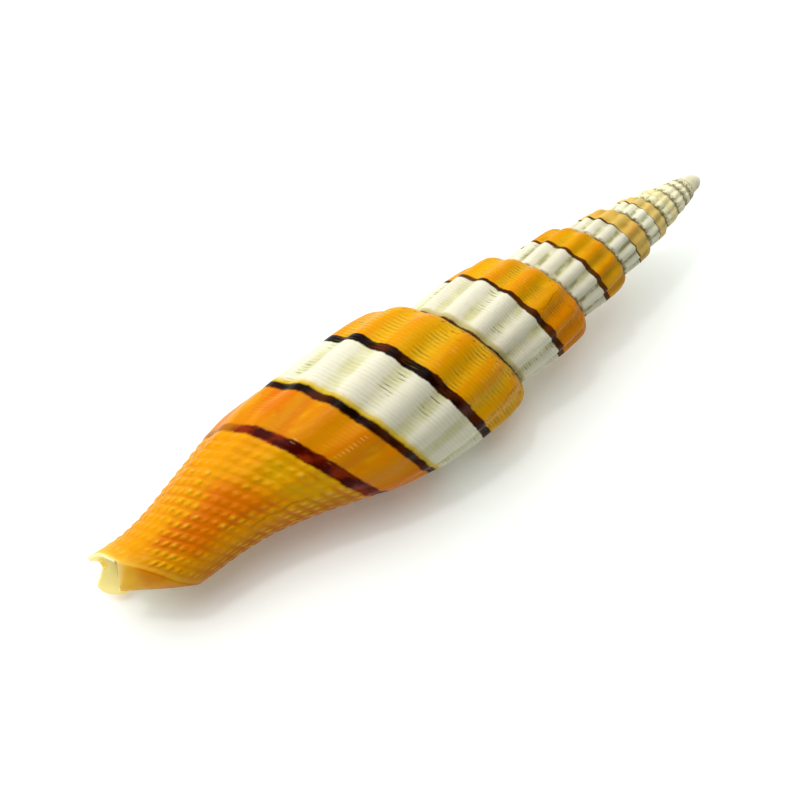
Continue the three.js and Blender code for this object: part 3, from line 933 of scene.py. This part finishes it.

# %% [markdown]
# Olive dirt keeps to the grooves between the ribs and to the fine furrows that run round the shell,
# where it breaks up into dashes. The sutures are painted darker along their line, and in the fold
# at the foot of the canal, which carries the same seam, that darkening is painted shade. All
# furrows are a shade darker than the threads between them.

# %% Dirt and darker seams
above_base = paint.smooth(drop, 14.0, 12.5)
dashes = product(furrow, pale_gap, patches(spread(0.3, 2.4, 7.0), 2.4, 2.0, 0.48, 0.62), above_base,
                 patches(spread(0.6, 0.5, 29.0), 0.3, 4.0, 0.45, 0.58, 0.06, 1.0),
                 paint.smooth(drop, 5.0, 7.0, 0.55, 1.0))
colour = paint.mix(paint.math("MULTIPLY", dashes, 0.75), aged, (0.14, 0.12, 0.015))
thread = product(furrow, stria_here, above_base, paint.smooth(turns, 4.0, 2.5), 0.13)
colour = paint.mix(thread, colour, (0.52, 0.50, 0.34), "MULTIPLY")
specks = patches(spread(1.0, 1.6, 13.0), 1.9, 3.0, 0.60, 0.68)
near_top = product(paint.smooth(drop, 2.6, 0.2), specks, 0.75)
colour = paint.mix(near_top, colour, (0.10, 0.05, 0.01))
to_seam = paint.attribute("seam")
# Darker along the sutures; at the foot of the canal, which carries the same seam, this is painted
# shade in the fold.
seam_darkening = product(paint.smooth(to_seam, 0.45, 0.05), patches(sheet_place, 1.1, 4.0, 0.34, 0.58))
old_gap = product(deep_gap, 0.55, paint.smooth(turns, 1.0, 2.4),
                  paint.smooth(level, 6.4, 7.0, 0.15, 1.0),
                  patches(sheet_place, 0.34, 3.0, 0.42, 0.58))
seam_darkening = product(seam_darkening, paint.smooth(turns, 0.2, 2.0, 0.5, 0.9))
dirt_and_shade = paint.math("MAXIMUM", seam_darkening, old_gap)
colour = paint.mix(dirt_and_shade, colour, (0.17, 0.145, 0.04))
print("dirt laid")

# %% [markdown]
# The thin end of the canal lets light through, and there it is painted paler, to cream, as that
# light makes it look. The threads of the shoulder get a painted yellow highlight in the gaps, where
# the light catches them. The backs of the ribs and the beads carry small painted glints, broken up
# by the furrows, and the coat is raised under them.

# %% Pale end and glints
split_place = paint.nodes.new("ShaderNodeSeparateXYZ")
paint.links.new(paint.place(), split_place.inputs[0])
from_end = paint.math("MULTIPLY_ADD", centred(paint.place(), 500.0, 3.0), 0.0016,
                      split_place.outputs["X"])
pale_end = paint.smooth(from_end, -0.0296, -0.0330)
colour = paint.mix(paint.math("MULTIPLY", pale_end, 0.75), colour, (0.97, 0.62, 0.06))
# Painted highlight: yellow lines in the gaps, where the light catches the threads of the shoulder.
shoulder_thread_highlight = product(paint.smooth(stria, 0.55, 0.95), stria_here, pale_gap,
                         paint.smooth(drop, 6.5, 5.5), 0.8, paint.smooth(turns, 1.6, 0.9))
colour = paint.mix(shoulder_thread_highlight, colour, (0.99, 0.66, 0.05))
broken = product(paint.smooth(stria, 0.6, 1.0),
                 patches(spread(0.4, 0.7, 17.0), 0.9, 3.0, 0.46, 0.60))
off_lines = paint.math("MAXIMUM", paint.smooth(drop, 5.9, 5.4), paint.smooth(drop, 14.3, 14.8))
crest_highlight = product(paint.smooth(ridge, 0.94, 1.0), broken,
                   patches(spread(0.25, 0.12, 19.0), 0.9, 2.0, 0.42, 0.50),
                   paint.smooth(drop, 19.5, 18.5), paint.smooth(turns, 1.9, 0.9), off_lines)
bead_highlight = product(paint.smooth(bead, 0.80, 1.0), on_base, bead_here,
                   paint.smooth(drop, 33.1, 32.6),
                   patches(spread(0.8, 0.9, 31.0), 0.9, 2.0, 0.47, 0.57))
glint = paint.math("MAXIMUM", crest_highlight, bead_highlight)
# Painted highlight: the glints on rib backs and beads are mixed pale yellow into the colour; the
# coat is raised there too.
colour = paint.mix(paint.math("MULTIPLY", glint, 0.45), colour, (1.0, 0.76, 0.26))
print("glints placed")

# %% [markdown]
# The fold at the foot of the canal is painted dark red as shade, under a painted highlight on its
# ridge, and its bare side blends into the cream of the inside. A last tint darkens all but the tip.
# The canal end also gets a faint painted glow: an emission that stands in for light coming through
# thin shell.

# %% Foot, tint and painted glow
# Painted shade: the fold at the foot of the canal is darkened to a deep red.
crease_shade = product(paint.smooth(to_seam, 3.0, 0.2), paint.smooth(drop, 33.0, 33.4), 0.45)
colour = paint.mix(crease_shade, colour, (0.42, 0.11, 0.002))
# Painted highlight: the ridge above the fold is painted pale orange.
ridge_highlight = product(paint.smooth(drop, 32.7, 33.2), paint.smooth(drop, 33.45, 33.3),
                     paint.smooth(turns, 0.09, 0.14), paint.smooth(turns, 0.5, 0.35), 0.5)
colour = paint.mix(ridge_highlight, colour, (0.98, 0.60, 0.05))
pale_foot = product(paint.smooth(drop, 33.3, 33.45), paint.smooth(turns, 0.17, 0.11), 0.85)
colour = paint.mix(pale_foot, colour, (0.96, 0.80, 0.30))
below_tip = paint.smooth(turns, 2.6, 5.2, 1.0, 0.0)
colour = paint.mix(below_tip, colour, (0.83, 0.80, 0.78), "MULTIPLY")
# Painted glow: the pale canal end emits a little light of its own colour, in place of light coming
# through thin shell.
painted_glow_strength = paint.math("MULTIPLY", product(pale_end, pale_end), 0.22)
paint.links.new(colour, paint.shader.inputs["Emission Color"])
paint.links.new(painted_glow_strength, paint.shader.inputs["Emission Strength"])
print("foot painted")

# %% [markdown]
# The sheen is low all over, and it is duller where the dirt and the darker seams lie. The relief of
# the furrows is too fine for the mesh and goes into the bump. It is strongest on the shoulder and
# stops at the foot of the canal.

# %% Surface of the outside
BUMP_M, BUMP_STRENGTH = 0.00009, 0.95
skin_shader = paint.shader
paint.links.new(colour, skin_shader.inputs["Base Color"])
paint.links.new(paint.smooth(dirt_and_shade, 0.0, 0.8, 0.28, 0.7), skin_shader.inputs["Roughness"])
coat = paint.math("MULTIPLY_ADD", glint, 0.3, 0.015)
paint.links.new(coat, skin_shader.inputs["Coat Weight"])
skin_shader.inputs["Specular IOR Level"].default_value = 0.03
skin_shader.inputs["Coat Roughness"].default_value = 0.08
skin_shader.inputs["Subsurface Weight"].default_value = 0.05
skin_shader.inputs["Subsurface Radius"].default_value = (0.0012, 0.0006, 0.0003)
skin_shader.inputs["Subsurface Scale"].default_value = 1.0
on_shoulder = paint.smooth(drop, 8.0, 5.5, 0.65, 1.0)
furrow_depth = product(on_shoulder, paint.smooth(drop, 14.5, 13.0, 0.3, 1.0), stria_here,
                       paint.math("MULTIPLY_ADD", gap, 0.55, 0.45), paint.smooth(turns, 6.0, 4.5))
relief = product(stria, furrow_depth)
grain = paint.math("MULTIPLY", paint.noise(sheet_place, 2.5, 4.0), 0.45)
relief = paint.math("ADD", relief, grain)
relief = paint.math("MULTIPLY_ADD", product(bead, on_base, bead_here), 1.3, relief)
relief = paint.math("MULTIPLY", relief, paint.smooth(drop, 33.3, 32.8, 0.1, 1.0))
paint.bump(relief, BUMP_M, BUMP_STRENGTH)
print("outside nodes", len(paint.nodes))

# %% [markdown]
# The inside is smooth and pale, cream to yellow. The thin canal end gets a faint painted glow: an
# emission that stands in for light soaking through it.

# %% Inside
room_paint = Tree(inside)
soft_spots = room_paint.noise(room_paint.place(), 260.0, 3.0)
cream = room_paint.mix(soft_spots, (0.90, 0.74, 0.26), (0.93, 0.84, 0.42))
room_split = room_paint.nodes.new("ShaderNodeSeparateXYZ")
room_paint.links.new(room_paint.place(), room_split.inputs[0])
ragged = room_paint.math("MULTIPLY_ADD", room_paint.math("SUBTRACT", soft_spots, 0.5), 0.002,
                         room_split.outputs["X"])
on_foot = room_paint.smooth(room_paint.attribute("drop"), 32.6, 33.4)
blush = room_paint.math("MULTIPLY", room_paint.smooth(ragged, -0.0334, -0.0320), on_foot)
cream = room_paint.mix(blush, cream, (0.95, 0.60, 0.05))
# Painted glow: emission on the thin canal end, in place of light soaking through it.
inside_painted_glow = room_paint.smooth(ragged, -0.0308, -0.0325, 0.0, 0.32)
sheen = room_paint.smooth(soft_spots, 0.3, 0.7, 0.24, 0.36)
room_shader = room_paint.shader
for name, value in (("Base Color", cream), ("Emission Color", cream),
                    ("Emission Strength", inside_painted_glow), ("Roughness", sheen)):
    room_paint.links.new(value, room_shader.inputs[name])
room_shader.inputs["Specular IOR Level"].default_value = 0.2
room_shader.inputs["Subsurface Weight"].default_value = 0.2
room_shader.inputs["Subsurface Radius"].default_value = (0.0015, 0.001, 0.0005)
room_shader.inputs["Subsurface Scale"].default_value = 1.0
room_paint.bump(soft_spots, 0.0001, 0.3)
print("inside painted")

# %% [markdown]
# Smooth shading hides the single faces. The shell is already in its place in the frame, so it only
# has to be told which body it rides on and which solid it takes the place of.

# %% Smooth shading and place in the frame
bpy.ops.object.select_all(action="DESELECT")
shell.select_set(True)
bpy.context.view_layer.objects.active = shell
bpy.ops.object.shade_smooth()
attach(shell, "root")
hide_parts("shell")
print(shell.name, "faces", len(shell.data.polygons))

# %% [markdown]
# The table is plain white paper. It glows very faintly, as it would with light
# from all the walls of a bright room, which keeps the shadow soft.

# %% Table
bpy.ops.object.select_all(action="DESELECT")
bpy.ops.mesh.primitive_plane_add(size=3, location=(0, 0, 0))
table = bpy.context.object
table.name = "table"
paper = bpy.data.materials.new("paper")
paper.use_nodes = True
sheet_paint = Tree(paper)
fibres = sheet_paint.noise(sheet_paint.place(), 40.0, 3.0)
paper_colour = sheet_paint.mix(fibres, (0.91, 0.955, 0.93), (0.93, 0.97, 0.945))
sheet_paint.links.new(paper_colour, sheet_paint.shader.inputs["Base Color"])
sheet_paint.shader.inputs["Roughness"].default_value = 0.8
sheet_paint.shader.inputs["Emission Color"].default_value = (0.98, 1.0, 0.94, 1)
sheet_paint.shader.inputs["Emission Strength"].default_value = 0.16
table.data.materials.append(paper)
table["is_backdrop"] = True
print("table", [round(d, 2) for d in table.dimensions])

# %% [markdown]
# The room is white, brighter on the far side. One large soft lamp hangs above,
# a little beyond the shell, and a small weak one beside it gives the glints.

# %% Light
world = bpy.data.worlds.new("white_room")
bpy.context.scene.world = world
world.use_nodes = True
sky = world.node_tree
direction = sky.nodes.new("ShaderNodeTexCoord").outputs["Generated"]
split = sky.nodes.new("ShaderNodeSeparateXYZ")
sky.links.new(direction, split.inputs[0])
slope = sky.nodes.new("ShaderNodeMapRange")
sky.links.new(split.outputs["Y"], slope.inputs["Value"])
for name, value in (("From Min", -0.5), ("From Max", 0.8), ("To Min", 0.0), ("To Max", 1.05)):
    slope.inputs[name].default_value = value
sky.links.new(slope.outputs[0], sky.nodes["Background"].inputs["Strength"])
sky.nodes["Background"].inputs["Color"].default_value = (1.0, 1.0, 1.0, 1)


def lamp(name, place_at_m, size, power):
    bpy.ops.object.light_add(type="AREA", location=place_at_m)
    light = bpy.context.object
    light.name = name
    light.data.size = size
    light.data.energy = power
    aim = Vector((0, 0, 0)) - Vector(place_at_m)
    light.rotation_euler = aim.to_track_quat("-Z", "Y").to_euler()
    return light


lamp("window_light", (-0.05, 0.13, 0.55), 0.62, 2.75)
lamp("spark_light", (-0.10, 0.12, 0.60), 0.05, 0.4)
bpy.context.scene.view_settings.view_transform = "Standard"

# %% [markdown]
# At the end the box of the finished shell is measured again and printed beside that of the solid.

# %% Measure and finish
bpy.context.view_layer.update()
visual_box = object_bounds()
for name, box in (("cad", cad_box), ("visual", visual_box)):
    print(name, [[round(c * 1000, 3) for c in corner] for corner in box])
triangles = sum(len(f.vertices) - 2 for f in shell.data.polygons)
print("triangles", triangles)
